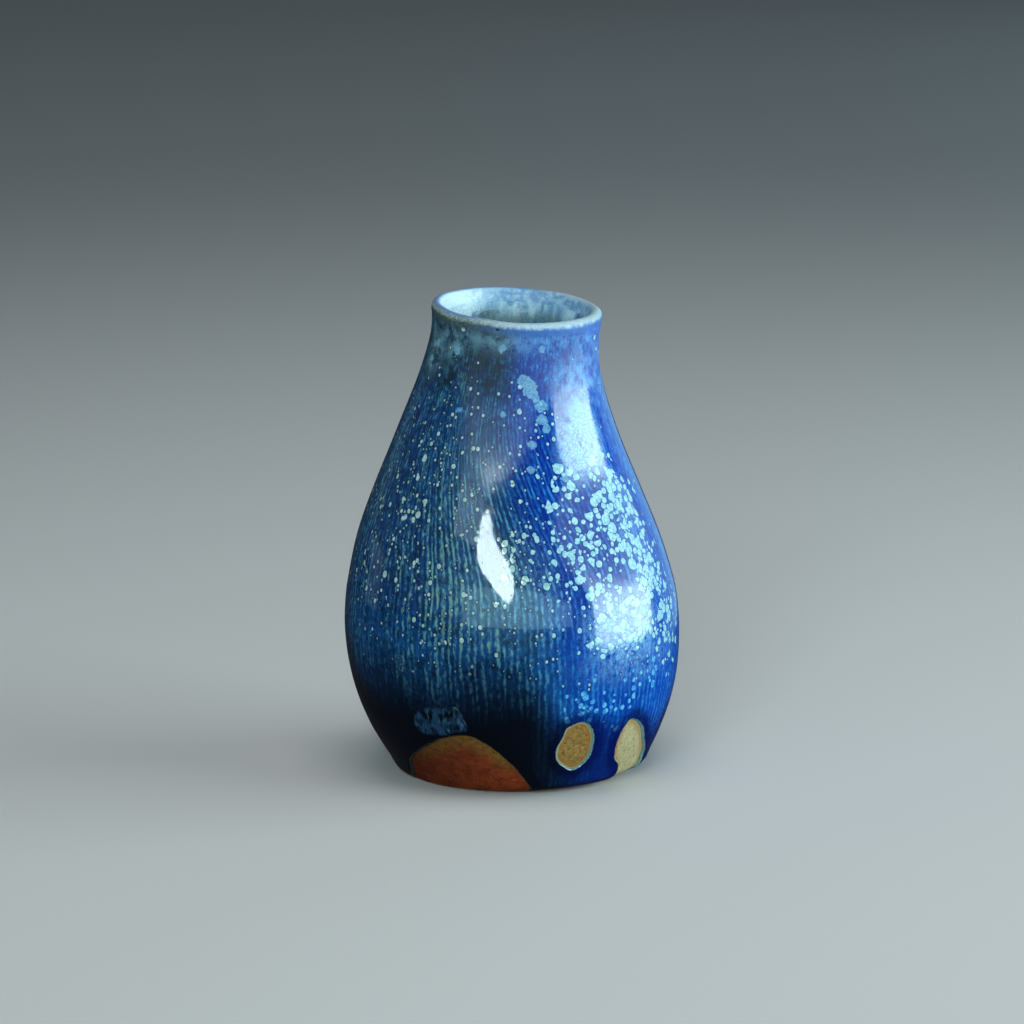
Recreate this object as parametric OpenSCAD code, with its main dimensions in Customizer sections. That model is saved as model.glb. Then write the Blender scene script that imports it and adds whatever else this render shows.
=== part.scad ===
// Hand-thrown ceramic bud vase.
// One thrown clay pot, and the glass-like glaze coats that are fused onto it:
// an outer coat with bare finger marks at the foot, a lining, a thin bead over
// the lip, and a small second dab of glaze above the thumb mark.
// Origin: centre of the widest diameter, on the table. +Z up. The two finger
// marks are to the right of -Y and the thumb mark is to the left of it.
// Millimetres.

/* [Body] */
// Overall height, from the table to the highest point of the lip
height = 100; // [80:1:120]
// Widest diameter, over the glaze
belly_d = 70.4; // [60:0.2:84]
// Narrowest diameter of the neck, over the glaze
neck_d = 34.8; // [28:0.2:42]
// Diameter of the flat ring that stands on the table
foot_d = 43; // [38:0.5:46]

/* [Clay] */
// Wall thickness at the belly
wall_belly = 3.2; // [2.6:0.1:4]
// Wall thickness at the neck
wall_neck = 2.6; // [2.2:0.1:3.2]
// Wall thickness at the lip
wall_lip = 2.0; // [1.6:0.1:2.4]
// Height of the inside floor over the table
floor_z = 5.5; // [4.5:0.1:7]
// Depth of the trimmed recess under the foot
recess = 0.8; // [0.4:0.1:1.5]
// Width of the foot ring
foot_ring_w = 4.5; // [3:0.5:6]

/* [Glaze] */
// Thickness of the outer coat on the wall
coat_t = 0.5; // [0.4:0.05:0.7]
// Thickness of the roll where the outer coat ends above the foot
roll_t = 0.65; // [0.5:0.05:0.8]
// Thickness of the lining inside
lining_t = 0.4; // [0.3:0.05:0.6]
// Thickness of the bead over the lip
bead_t = 0.25; // [0.2:0.05:0.4]
// Depth of the pool of glaze on the inside floor
pool_t = 0.8; // [0.6:0.1:1.2]
// Thickness of the second dab of glaze above the thumb mark
dab_t = 0.22; // [0.16:0.02:0.3]

/* [Bare marks, from holding the foot while dipping] */
// Turn of the two finger marks about the axis, in degrees
fingers_turn = 0; // [-10:1:10]
// Turn of the thumb mark about the axis, in degrees
thumb_turn = 0; // [-10:1:5]

/* [Throwing] */
// Fall of the lip towards +X, in mm over 1 mm
lip_fall_x = 0.057; // [0:0.005:0.08]
// Fall of the lip towards -Y, in mm over 1 mm
lip_fall_y = 0.043; // [0:0.005:0.08]
// Share of the sideways drift of the wall off the wheel's axis
drift_share = 1; // [0:0.1:1.2]

/* [Smoothness] */
// Sides around the pot
sides = 48; // [36:6:60]

/* [Hidden] */

belly_r = belly_d / 2;
neck_r = neck_d / 2;
foot_r = foot_d / 2;
lip_z = height - (neck_r + 0.3) * norm([lip_fall_x, lip_fall_y]);
tilt_from = 0.78 * height;
tilt_to = 0.97 * height;

// Silhouette: [share of the height, 0 at the neck's radius to 1 at the belly's]
SHAPE = [
    [0.008, 0.43], [0.02, 0.525], [0.035, 0.575], [0.05, 0.62], [0.075, 0.695],
    [0.10, 0.762], [0.15, 0.869], [0.20, 0.942], [0.25, 0.984], [0.30, 1.0],
    [0.35, 0.990], [0.40, 0.952], [0.50, 0.807], [0.60, 0.596], [0.70, 0.368],
    [0.80, 0.161], [0.86, 0.060], [0.92, 0.006], [0.96, 0.012], [1.0, 0.04]];
// Drift of the centre along X: [share of the height, mm]
DRIFT = [
    [0, -0.4], [0.02, 1.3], [0.05, 1.2], [0.1, 0.85], [0.2, 0.4], [0.3, 0],
    [0.4, -0.25], [0.5, -0.75], [0.6, -1.05], [0.75, -1.0], [0.85, -0.3],
    [0.92, 0.6], [0.96, 0.95], [1.0, 0.9]];
// Clay wall thickness: [share of the height, mm]
WALL = [[0.05, wall_belly + 1], [0.15, wall_belly + 0.3], [0.30, wall_belly],
    [0.60, wall_belly - 0.2], [0.85, wall_neck], [1.0, wall_lip]];
// Outer coat thickness: [share of the height, mm]
COAT = [[0.008, 0.3], [0.018, roll_t], [0.035, roll_t], [0.08, coat_t],
    [0.85, coat_t], [0.96, bead_t + 0.05], [1.0, bead_t + 0.05]];

// Outlines of the bare marks: [azimuth from -Y towards +X, height]. The marks
// that reach the foot run on below the coat's edge.
FINGER_1 = [[20, 16], [26, 16.5], [30, 13], [29, 8.5], [23.5, 6], [17, 8],
    [16, 10.5], [18, 14]];
FINGER_2 = [[47.5, 15.5], [53.5, 13.5], [60, 9.5], [68, 4], [66, -3], [48, -2],
    [48.5, 4], [44, 7], [42.5, 10], [44.5, 14]];
THUMB = [[-58, 0], [-52, 5], [-41, 9], [-29, 12.5], [-18, 14.2], [-10, 12],
    [-3, 8], [3, 3.5], [8, -3], [-25, -6], [-56, -4]];

// Smooth curve through a table of [position, value]
function seg(k, x, i = 0) = i >= len(k) - 2 || x < k[i + 1][0] ? i : seg(k, x, i + 1);
function slope(k, i) =
    let (a = max(i - 1, 0), b = min(i + 1, len(k) - 1))
    (k[b][1] - k[a][1]) / (k[b][0] - k[a][0]);
function curve(k, x) =
    let (i = seg(k, x), h = k[i + 1][0] - k[i][0],
         t = min(max((x - k[i][0]) / h, 0), 1), t2 = t * t, t3 = t2 * t)
    (2 * t3 - 3 * t2 + 1) * k[i][1] + (t3 - 2 * t2 + t) * slope(k, i) * h
    + (3 * t2 - 2 * t3) * k[i + 1][1] + (t3 - t2) * slope(k, i + 1) * h;
function ease(t) = let (u = min(max(t, 0), 1)) u * u * (3 - 2 * u);

// Radii at a height, before the lip is tilted
function glaze_r(z) = neck_r + (belly_r - neck_r) * curve(SHAPE, z / height);
function clay_r(z) = glaze_r(z) - curve(COAT, z / height);
function bore_r(z) = clay_r(z) - curve(WALL, z / height);

// Carries a profile point [r, z] round the drifting, tilting axis at angle a
function warp(p, a) =
    let (x = p[0] * cos(a), y = p[0] * sin(a),
         w = ease((p[1] - tilt_from) / (tilt_to - tilt_from)))
    [x + drift_share * curve(DRIFT, min(max(p[1] / height, 0), 1)), y,
     p[1] + w * (-lip_fall_x * x + lip_fall_y * y)];

// Heights of the profile points along the wall
wall_top = lip_z - bead_t - wall_lip / 2;
WALL_Z = [for (s = [0.008, 0.018, 0.03, 0.045, 0.065, 0.09, 0.12, 0.155, 0.195, 0.24,
    0.285, 0.33, 0.38, 0.43, 0.485, 0.54, 0.6, 0.66, 0.715, 0.765, 0.81, 0.85,
    0.885, 0.915, 0.94, 0.96]) s * height];
// Inside, the wall ends where the rounded floor begins
bowl_z = 0.20 * height;
INSIDE_Z = [for (i = [len(WALL_Z) - 1:-1:0]) if (WALL_Z[i] > bowl_z + 1) WALL_Z[i]];

// Profile pieces, each a list of [r, z]
outside = [for (z = WALL_Z) [clay_r(z), z]];
top_r = clay_r(wall_top) - wall_lip / 2;
function lip_arc(grow, from, to, n) = [for (i = [0:n])
    let (a = from + (to - from) * i / n, t = wall_lip / 2 + grow)
    [top_r + t * cos(a), wall_top + t * sin(a)]];
function inside(grow) = [for (z = INSIDE_Z) [bore_r(z) - grow, z]];
function bowl(grow, rise) = [for (i = [0:5])
    let (a = 15 * i, z = bowl_z - (bowl_z - floor_z - rise) * sin(a))
    [(bore_r(z) - grow) * cos(a), z]];

clay_profile = concat(
    [[0, recess], [foot_r - foot_ring_w - 1.5, recess], [foot_r - foot_ring_w, 0],
     [foot_r, 0], [foot_r + 1.9, 0.28]],
    outside, lip_arc(0, 0, 180, 8), inside(0), bowl(0, 0), [[0, floor_z]]);

// Closed shell from a profile that starts and ends on the axis
module turned(profile) {
    n = len(profile) - 2;
    pts = concat([warp(profile[0], 0)],
        [for (i = [1:n], j = [0:sides - 1]) warp(profile[i], 360 * j / sides)],
        [warp(profile[n + 1], 0)]);
    function id(i, j) = 1 + (i - 1) * sides + j % sides;
    polyhedron(points = pts, faces = concat(
        [for (j = [0:sides - 1]) [0, id(1, j), id(1, j + 1)]],
        [for (i = [1:n - 1], j = [0:sides - 1])
            each [[id(i, j), id(i + 1, j), id(i + 1, j + 1)],
                  [id(i, j), id(i + 1, j + 1), id(i, j + 1)]]],
        [for (j = [0:sides - 1]) [len(pts) - 1, id(n, j + 1), id(n, j)]]),
        convexity = 8);
}

// Closed ring from a profile that runs in a loop
module turned_ring(profile) {
    n = len(profile);
    pts = [for (i = [0:n - 1], j = [0:sides - 1]) warp(profile[i], 360 * j / sides)];
    function id(i, j) = (i % n) * sides + j % sides;
    polyhedron(points = pts, faces = [for (i = [0:n - 1], j = [0:sides - 1])
        each [[id(i, j), id(i + 1, j), id(i + 1, j + 1)],
              [id(i, j), id(i + 1, j + 1), id(i, j + 1)]]],
        convexity = 8);
}

// Smooth closed outline through a list of points, four steps to each
function loop(k, m = 4) = let (n = len(k)) [for (i = [0:n - 1], j = [0:m - 1])
    let (a = k[(i + n - 1) % n], b = k[i], c = k[(i + 1) % n], d = k[(i + 2) % n],
         t = j / m)
    b + t * (c - a) / 2 + t * t * (a - 2.5 * b + 2 * c - d / 2)
    + t * t * t * (1.5 * b - a / 2 - 1.5 * c + d / 2)];

// Cutter through the coat along azimuth az, with the outline of a bare mark
module mark(outline, az, turn = 0, depth = 26) {
    rotate([0, 0, az + turn - 90]) translate([14, 0, 0]) rotate([90, 0, 90])
        linear_extrude(depth) polygon([for (p = loop(outline))
            let (w = warp([glaze_r(max(p[1], 1)), p[1]], p[0] - 90))
            [w[0] * cos(az) + w[1] * sin(az), p[1]]]);
}
module marks() {
    mark(FINGER_1, 23, fingers_turn);
    mark(FINGER_2, 54, fingers_turn);
    mark(THUMB, -25, thumb_turn);
}

module clay_body() {
    color([0.62, 0.36, 0.20]) turned(clay_profile);
}

module outer_glaze() {
    color([0.06, 0.16, 0.48]) difference() {
        turned_ring(concat(
            [for (z = WALL_Z) [glaze_r(z), z]],
            [for (i = [len(WALL_Z) - 1:-1:0]) outside[i]]));
        marks();
    }
}

module lining_glaze() {
    color([0.50, 0.66, 0.72]) turned(concat(
        [[0, floor_z]], [for (i = [5:-1:0]) bowl(0, 0)[i]],
        [for (i = [len(INSIDE_Z) - 1:-1:0]) inside(0)[i]],
        inside(lining_t), bowl(lining_t, pool_t), [[0, floor_z + pool_t]]));
}

module lip_glaze() {
    last = WALL_Z[len(WALL_Z) - 1];
    color([0.62, 0.68, 0.68]) turned_ring(concat(
        [[glaze_r(last), last]], lip_arc(bead_t, 0, 180, 8), [[bore_r(last) - lining_t, last]],
        [[bore_r(last), last]], lip_arc(0, 180, 0, 8), [[clay_r(last), last]]));
}

// Thin lens of glaze on the outer coat
module glaze_dab() {
    az = -28; z0 = 16.8; w = 13; h = 7; n = 24;
    function on(u, v, t) =
        let (z = z0 + v * h / 2, a = az - 90 + asin(u * w / 2 / glaze_r(z)))
        warp([glaze_r(z) + t, z], a);
    color([0.18, 0.34, 0.50]) difference() {
        polyhedron(points = concat([on(0, 0, dab_t)],
            [for (k = [1:3], i = [0:n - 1]) let (a = 360 * i / n, q = k / 3)
                on(q * cos(a), q * sin(a), dab_t * (1 - 0.8 * q * q))],
            [for (k = [3:-1:1], i = [0:n - 1]) let (a = 360 * i / n, q = k / 3)
                on(q * cos(a), q * sin(a), -0.4)],
            [on(0, 0, -0.4)]),
            faces = concat(
                [for (i = [0:n - 1]) [0, 1 + (i + 1) % n, 1 + i]],
                [for (k = [0:4], i = [0:n - 1]) let (p = 1 + k * n, i2 = (i + 1) % n)
                    each [[p + i, p + i2, p + n + i2], [p + i, p + n + i2, p + n + i]]],
                [for (i = [0:n - 1]) [6 * n + 1, 5 * n + 1 + i, 5 * n + 1 + (i + 1) % n]]),
            convexity = 4);
        turned(concat([[0, WALL_Z[3]]], [for (i = [3:14]) [glaze_r(WALL_Z[i]), WALL_Z[i]]],
            [[0, WALL_Z[14]]]));
        mark(THUMB, -25, thumb_turn);
    }
}

clay_body();
outer_glaze();
lining_glaze();
lip_glaze();
glaze_dab();
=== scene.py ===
"""Looks of the hand-thrown ceramic bud vase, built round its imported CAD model."""
import math

import bpy
import numpy as np
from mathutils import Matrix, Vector


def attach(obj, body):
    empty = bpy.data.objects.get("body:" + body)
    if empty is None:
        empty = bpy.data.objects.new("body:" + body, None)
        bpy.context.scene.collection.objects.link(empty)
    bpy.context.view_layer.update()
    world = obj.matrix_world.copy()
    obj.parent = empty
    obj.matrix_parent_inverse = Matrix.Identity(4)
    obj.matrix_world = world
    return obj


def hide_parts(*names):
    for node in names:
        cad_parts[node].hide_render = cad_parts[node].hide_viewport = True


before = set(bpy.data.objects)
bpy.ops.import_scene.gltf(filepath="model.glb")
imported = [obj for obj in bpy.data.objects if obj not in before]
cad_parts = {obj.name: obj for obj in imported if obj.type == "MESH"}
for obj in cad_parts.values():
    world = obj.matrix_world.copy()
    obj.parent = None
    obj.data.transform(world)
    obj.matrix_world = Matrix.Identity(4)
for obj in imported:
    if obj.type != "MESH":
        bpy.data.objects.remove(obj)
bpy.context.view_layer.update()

MM = 0.001

# ---------------------------------------------------------------- shape of the pot, in mm
HEIGHT, BELLY_R, NECK_R, FOOT_R = 100.0, 35.2, 17.4, 21.5
FALL_X, FALL_Y = 0.057, 0.043
LIP_Z = HEIGHT - (NECK_R + 0.3) * math.hypot(FALL_X, FALL_Y)
BEAD_T, LINING_T, POOL_T, WALL_LIP, FLOOR_Z, RECESS, RING_W = 0.25, 0.4, 0.8, 2.0, 5.5, 0.8, 4.5
SHAPE = [(0.008, 0.43), (0.02, 0.525), (0.035, 0.575), (0.05, 0.62), (0.075, 0.695), (0.10, 0.762),
         (0.15, 0.869), (0.20, 0.942), (0.25, 0.984), (0.30, 1.0), (0.35, 0.990), (0.40, 0.952),
         (0.50, 0.807), (0.60, 0.596), (0.70, 0.368), (0.80, 0.161), (0.86, 0.060), (0.92, 0.006),
         (0.96, 0.012), (1.0, 0.04)]
DRIFT = [(0, -0.4), (0.02, 1.3), (0.05, 1.2), (0.1, 0.85), (0.2, 0.4), (0.3, 0), (0.4, -0.25),
         (0.5, -0.75), (0.6, -1.05), (0.75, -1.0), (0.85, -0.3), (0.92, 0.6), (0.96, 0.95), (1.0, 0.9)]
WALL = [(0.05, 4.2), (0.15, 3.5), (0.30, 3.2), (0.60, 3.0), (0.85, 2.6), (1.0, WALL_LIP)]
COAT = [(0.008, 0.3), (0.018, 0.65), (0.035, 0.65), (0.08, 0.5), (0.85, 0.5), (0.96, 0.3), (1.0, 0.3)]
TOP_Z = 96.0                                # where the coat and the lining meet the bead over the lip
WALL_TOP = LIP_Z - BEAD_T - WALL_LIP / 2
BOWL_Z = 20.0


def curve(table, x):
    k = np.asarray(table, float)
    x = np.asarray(x, float)
    n = len(k)
    a, b = np.maximum(np.arange(n) - 1, 0), np.minimum(np.arange(n) + 1, n - 1)
    s = (k[b, 1] - k[a, 1]) / (k[b, 0] - k[a, 0])
    i = np.clip(np.searchsorted(k[:, 0], x, side="right") - 1, 0, n - 2)
    h = k[i + 1, 0] - k[i, 0]
    t = np.clip((x - k[i, 0]) / h, 0, 1)
    t2, t3 = t * t, t ** 3
    return ((2 * t3 - 3 * t2 + 1) * k[i, 1] + (t3 - 2 * t2 + t) * s[i] * h
            + (3 * t2 - 2 * t3) * k[i + 1, 1] + (t3 - t2) * s[i + 1] * h)


def ease(t):
    t = np.clip(t, 0, 1)
    return t * t * (3 - 2 * t)


def glaze_r(z):
    return NECK_R + (BELLY_R - NECK_R) * curve(SHAPE, np.asarray(z) / HEIGHT)


def clay_r(z):
    return glaze_r(z) - curve(COAT, np.asarray(z) / HEIGHT)


def bore_r(z):
    return clay_r(z) - curve(WALL, np.asarray(z) / HEIGHT)


def warp(r, z, az):
    """Profile point (r, z) at azimuth az (degrees from -Y towards +X) to x, y, z."""
    a = np.radians(np.asarray(az, float) - 90)
    x, y = r * np.cos(a), r * np.sin(a)
    w = ease((z - 0.78 * HEIGHT) / (0.19 * HEIGHT))
    return np.stack([x + curve(DRIFT, np.clip(np.asarray(z) / HEIGHT, 0, 1)), y + 0 * z,
                     z + w * (-FALL_X * x + FALL_Y * y)], -1)


def turn(a):
    return (np.asarray(a, float) + 180) % 360 - 180


# ---------------------------------------------------------------- seeded waves, the same every run
def waves(az, z, seed, freqs, z_scale, n=14):
    """Smooth waviness round and up the pot, about -1 to 1, with no seam."""
    rng = np.random.default_rng(seed)
    a = np.radians(az)
    total = 0
    for _ in range(n):
        f = rng.integers(freqs[0], freqs[1] + 1)
        total = total + np.sin(f * a + rng.uniform(0, 6.28) + z * rng.uniform(-1, 1) * z_scale) * rng.uniform(0.5, 1)
    return total / (0.75 * math.sqrt(n) * 1.4)


def wall_relief(az, z):
    """The coat is not quite even: long soft swells, a little over its thickness either way."""
    return (0.05 * waves(az, z, 21, (1, 6), 0.12) + 0.005 * waves(az, z, 22, (6, 22), 0.35)) * ease((TOP_Z - z) / 3)


def loop(points, m=12):
    k = np.asarray(points, float)
    n = len(k)
    out = []
    for i in range(n):
        a, b, c, d = k[(i - 1) % n], k[i], k[(i + 1) % n], k[(i + 2) % n]
        for j in range(m):
            t = j / m
            out.append(b + t * (c - a) / 2 + t * t * (a - 2.5 * b + 2 * c - d / 2)
                       + t ** 3 * (1.5 * b - a / 2 - 1.5 * c + d / 2))
    return np.array(out)


# Bare marks and the second dab: (azimuth, height)
FINGER_1 = [(20, 16), (26, 16.5), (30, 13), (29, 8.5), (23.5, 6), (17, 8), (16, 10.5), (18, 14)]
FINGER_2 = [(47.5, 15.5), (53.5, 13.5), (60, 9.5), (68, 4), (66, -3), (48, -2), (48.5, 4), (44, 7),
            (42.5, 10), (44.5, 14)]
THUMB = [(-58, 0), (-52, 5), (-41, 9), (-29, 12.5), (-18, 14.2), (-10, 12), (-3, 8), (3, 3.5), (8, -3),
         (-25, -6), (-56, -4)]
DAB = [(-39.5, 15.5), (-36, 18.5), (-30, 19.8), (-24, 20.4), (-19.5, 20.2), (-18, 17.5), (-17, 15.2),
       (-22.5, 14.4), (-28, 13.6), (-35, 13.4)]


def flat(az, z):
    """Azimuth and height laid flat, in mm: round at a radius of 30, up along the slope of the wall."""
    z = np.asarray(z, float)
    zz = np.linspace(-8, 40, 481)
    r = glaze_r(np.maximum(zz, 0.8))
    s = np.concatenate([[0], np.cumsum(np.hypot(np.diff(zz), np.diff(r)))]) - 8.0
    return np.stack([np.radians(az) * 30.0, np.interp(z, zz, s)], -1)


def distance(az, z, outline, wobble=0.0, seed=0):
    """Distance in mm to an outline, negative inside it. The outline gets a small wobble."""
    o = loop(outline)
    q = flat(o[:, 0], o[:, 1])
    if wobble:
        rng = np.random.default_rng(seed)
        n = len(q)
        t = np.arange(n) / n * 2 * math.pi
        w = sum(np.sin(f * t + rng.uniform(0, 6.28)) * wobble / math.sqrt(f / 3) for f in (3, 5, 7, 11, 17, 23, 31))
        d = np.roll(q, -1, 0) - np.roll(q, 1, 0)
        normal = np.stack([d[:, 1], -d[:, 0]], -1) / np.maximum(np.linalg.norm(d, axis=1), 1e-9)[:, None]
        q = q + normal * w[:, None] * 0.5
    az, z = np.broadcast_arrays(turn(np.asarray(az, float)), np.asarray(z, float))
    p = flat(az.ravel(), z.ravel())
    best = np.full(len(p), 1e9)
    inside = np.zeros(len(p), bool)
    for i in range(len(q)):
        a, b = q[i - 1], q[i]
        ab = b - a
        t = np.clip(((p - a) @ ab) / max(ab @ ab, 1e-12), 0, 1)
        best = np.minimum(best, np.hypot(*(p - a - t[:, None] * ab).T))
        cross = (a[1] > p[:, 1]) != (b[1] > p[:, 1])
        with np.errstate(divide="ignore", invalid="ignore"):
            x = a[0] + (p[:, 1] - a[1]) * ab[0] / (ab[1] if ab[1] else 1e-12)
        inside ^= cross & (p[:, 0] < x)
    return np.where(inside, -best, best).reshape(az.shape)


class Field:
    """Distance to outlines, worked out once on a close grid of (azimuth, height) and read between its points."""

    def __init__(self, az0, az1, z0, z1, make):
        self.az = np.linspace(az0, az1, int((az1 - az0) * 4) + 1)
        self.z = np.linspace(z0, z1, int((z1 - z0) * 8) + 1)
        self.v = make(self.az[None, :] + 0 * self.z[:, None], self.z[:, None] + 0 * self.az[None, :])

    def __call__(self, az, z):
        az, z = np.broadcast_arrays(turn(np.asarray(az, float)), np.asarray(z, float))
        i = np.clip((az - self.az[0]) * 4, 0, len(self.az) - 1.001)
        j = np.clip((z - self.z[0]) * 8, 0, len(self.z) - 1.001)
        i0, j0 = i.astype(int), j.astype(int)
        i, j = i - i0, j - j0
        v = self.v
        return ((v[j0, i0] * (1 - i) + v[j0, i0 + 1] * i) * (1 - j)
                + (v[j0 + 1, i0] * (1 - i) + v[j0 + 1, i0 + 1] * i) * j)


to_mark = Field(-74, 84, -8, 30, lambda az, z: np.minimum(np.minimum(
    distance(az, z, FINGER_1, 0.10, 1), distance(az, z, FINGER_2, 0.14, 2)), distance(az, z, THUMB, 0.12, 3)))


def to_edge(az, z):
    """Distance to the nearest edge of the outer coat: a bare mark, or its wavy end above the foot."""
    end = 0.75 + 0.16 * waves(az, 0 * z, 5, (2, 14), 0)
    return np.minimum(to_mark(az, z), (z - end) * 1.9)


# ---------------------------------------------------------------- meshes
def split(pts, polys, value, level, eps=0.03):
    """Cuts polygons along value(az, z) = level. pts is an array of (az, z)."""
    pts = np.asarray(pts, float)
    v = value(pts[:, 0], pts[:, 1]) - level
    v[np.abs(v) < eps] = 0
    sign = list(np.sign(v).astype(int))
    crossing = {}
    for poly in polys:
        for k, i in enumerate(poly):
            j = poly[k - 1]
            if sign[i] * sign[j] < 0:
                crossing.setdefault((min(i, j), max(i, j)), len(pts) + len(crossing))
    if crossing:
        e = np.array(list(crossing))
        a0, z0 = pts[e[:, 0]].T
        da, dz = turn(pts[e[:, 1], 0] - a0), pts[e[:, 1], 1] - z0
        lo, hi, t = np.zeros(len(e)), np.ones(len(e)), v[e[:, 0]] / (v[e[:, 0]] - v[e[:, 1]])
        for _ in range(12):
            same = (value(turn(a0 + t * da), z0 + t * dz) - level > 0) == (v[e[:, 0]] > 0)
            lo, hi = np.where(same, t, lo), np.where(same, hi, t)
            t = (lo + hi) / 2
        t = np.clip(t, 0.04, 0.96)
        pts = np.concatenate([pts, np.stack([turn(a0 + t * da), z0 + t * dz], -1)])
        sign += [0] * len(e)
    out = []
    for poly in polys:
        s = [sign[i] for i in poly]
        if min(s) >= 0 or max(s) <= 0:
            out.append(poly)
            continue
        up, down = [], []
        for k, i in enumerate(poly):
            j = poly[(k + 1) % len(poly)]
            if sign[i] >= 0:
                up.append(i)
            if sign[i] <= 0:
                down.append(i)
            if sign[i] * sign[j] < 0:
                m = crossing[(min(i, j), max(i, j))]
                up.append(m)
                down.append(m)
        out += [p for p in (up, down) if len(p) > 2]
    return pts, out


def middle(pts, polys):
    """Middle of each polygon."""
    a0 = pts[[p[0] for p in polys], 0]
    return (np.array([a + np.mean(turn(pts[p, 0] - a)) for a, p in zip(a0, polys)]),
            np.array([pts[p, 1].mean() for p in polys]))


def trimmed(polys, left_open=lambda e: False):
    """Drops the slivers that lie along an outline with every corner, or that meet along a chord of it, so that two
    skins can share the outline. Returns the polygons and the outline's vertices."""
    polys = [list(map(int, p)) for p in polys]
    while True:
        edges = {}
        for f, p in enumerate(polys):
            for a, b in zip(p, p[1:] + p[:1]):
                edges.setdefault((min(a, b), max(a, b)), []).append(f)
        rim = {v for e, fs in edges.items() if len(fs) == 1 and not left_open(e) for v in e}
        bad = {f for f, p in enumerate(polys) if all(v in rim for v in p)}
        for e, fs in edges.items():
            if len(fs) > 1 and e[0] in rim and e[1] in rim and not bad.intersection(fs):
                bad.add(min(fs, key=lambda f: (sum(v not in rim for v in polys[f]), f)))
        if not bad:
            return polys, rim
        polys = [p for f, p in enumerate(polys) if f not in bad]


def grid(columns, rows, az0=-180.0, az1=180.0, closed=True):
    az = np.linspace(az0, az1, columns + (0 if closed else 1), endpoint=not closed)
    n = len(az)
    pts = [(a, z) for z in rows for a in az]
    last = n if closed else n - 1
    polys = [[i * n + j, i * n + (j + 1) % n, (i + 1) * n + (j + 1) % n, (i + 1) * n + j]
             for i in range(len(rows) - 1) for j in range(last)]
    return pts, polys


def build(name, co, polys, attributes=None, sharp=()):
    me = bpy.data.meshes.new(name)
    me.from_pydata([tuple(p) for p in np.asarray(co) * MM], [], [list(map(int, p)) for p in polys])
    for key, values in (attributes or {}).items():
        values = np.asarray(values, np.float32)
        if values.ndim == 1:
            me.attributes.new(key, "FLOAT", "POINT").data.foreach_set("value", values)
        else:
            me.attributes.new(key, "FLOAT_VECTOR", "POINT").data.foreach_set("vector", values.ravel())
    me.validate(verbose=False)
    me.update()
    for p in me.polygons:
        p.use_smooth = True
    if len(sharp):
        wanted = {(min(a, b), max(a, b)) for a, b in sharp}
        flags = me.attributes.new("sharp_edge", "BOOLEAN", "EDGE")
        for e in me.edges:
            if tuple(sorted(e.vertices)) in wanted:
                flags.data[e.index].value = True
    ob = bpy.data.objects.new(name, me)
    bpy.context.scene.collection.objects.link(ob)
    return ob


def lathe(profile, columns, relief=None):
    """Closed skin from profile [(r, z)] that starts and ends on the axis. relief(az, k) adds to r."""
    az = np.linspace(-180, 180, columns, endpoint=False)
    n = len(profile)
    co, pole0, pole1 = [], 0, 1
    co.append(warp(np.array([0.0]), np.array([profile[0][1]]), np.array([0.0]))[0])
    co.append(warp(np.array([0.0]), np.array([profile[-1][1]]), np.array([0.0]))[0])
    info = [(0.0, profile[0][1], 0), (0.0, profile[-1][1], n - 1)]
    for k in range(1, n - 1):
        r, z = profile[k]
        rr = np.full(columns, r, float) + (relief(az, k, r, z) if relief else 0)
        co += list(warp(rr, np.full(columns, z, float), az))
        info += [(a, z, k) for a in az]
    polys = []

    def vid(k, j):
        return 2 + (k - 1) * columns + j % columns

    for j in range(columns):
        polys.append([pole0, vid(1, j + 1), vid(1, j)])
        polys.append([pole1, vid(n - 2, j), vid(n - 2, j + 1)])
    for k in range(1, n - 2):
        for j in range(columns):
            polys.append([vid(k, j), vid(k, j + 1), vid(k + 1, j + 1), vid(k + 1, j)])
    return np.array(co), polys, np.array(info)


def ring(profile, columns, relief=None):
    """Closed ring from a looped profile [(r, z)]."""
    az = np.linspace(-180, 180, columns, endpoint=False)
    n = len(profile)
    co, info = [], []
    for k, (r, z) in enumerate(profile):
        rr = np.full(columns, r, float) + (relief(az, k, r, z) if relief else 0)
        co += list(warp(rr, np.full(columns, z, float), az))
        info += [(a, z, k) for a in az]
    polys = [[k * columns + j, k * columns + (j + 1) % columns,
              (k + 1) % n * columns + (j + 1) % columns, (k + 1) % n * columns + j]
             for k in range(n) for j in range(columns)]
    return np.array(co), polys, np.array(info)


def steps(a, b, size):
    n = max(int(round(abs(b - a) / size)), 1)
    return list(np.linspace(a, b, n + 1))


# ---------------------------------------------------------------- where the glaze changes, all given as soft shapes
def spot(az, z, a0, z0, sa, sz, slant=0.0, power=2.0):
    """Soft oval about (a0, z0), sa degrees by sz mm at half strength; slant moves it sideways with height."""
    u = turn(az - a0 - slant * (z - z0)) / sa
    v = (z - z0) / sz
    return 0.5 ** ((u * u + v * v) ** (power / 2))


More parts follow.
